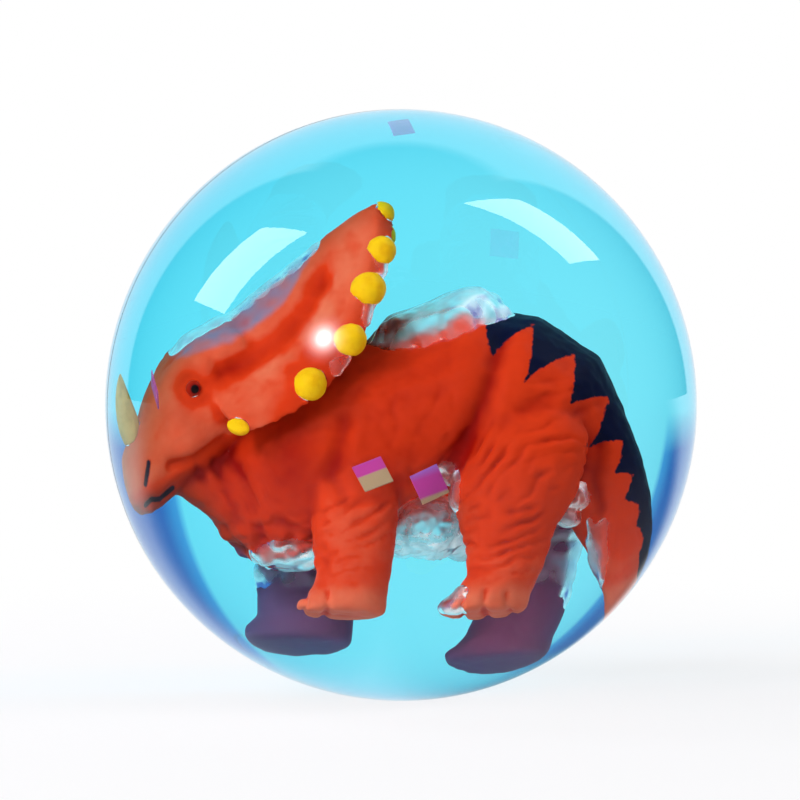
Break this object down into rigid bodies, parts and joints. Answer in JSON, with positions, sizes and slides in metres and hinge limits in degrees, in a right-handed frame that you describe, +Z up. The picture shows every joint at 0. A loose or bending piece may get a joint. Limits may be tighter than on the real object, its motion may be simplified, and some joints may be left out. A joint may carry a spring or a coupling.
{
  "type": "bouncy ball",
  "caption": "Clear rubber bouncing ball with its rear half tinted blue, cast solid round a painted horned dinosaur figure and a few glitter flakes.",
  "frame": {"origin": "centre of the ball", "axes": "+Z up as the dinosaur stands, the dinosaur faces -X, and the clear half lies towards -Y: the parting plane passes through the origin, turned 12 degrees about Z and tilted 4 degrees about X from the plane Y = 0"},
  "size_m": [0.045, 0.045, 0.045],
  "materials": {
    "clear_rubber": "clear, polished",
    "blue_rubber": "clear blue, polished",
    "orange_vinyl": "satin",
    "navy_paint": "sprayed, satin",
    "yellow_paint": "brushed on, satin",
    "black_paint": "gloss",
    "flake_film": "iridescent film"
  },
  "bodies": {
    "root": {"clear_half": "clear_rubber", "blue_half": "blue_rubber", "body": "orange_vinyl", "back_coat": "navy_paint", "head": "orange_vinyl", "frill": "orange_vinyl", "frill_studs": "yellow_paint", "nose_horn": "yellow_paint", "cheek_spikes": "yellow_paint", "eyes": "black_paint", "near_front_leg": "orange_vinyl", "far_front_leg": "orange_vinyl", "near_hind_leg": "orange_vinyl", "far_hind_leg": "orange_vinyl", "glitter_flakes": "flake_film"}
  },
  "joints": []
}
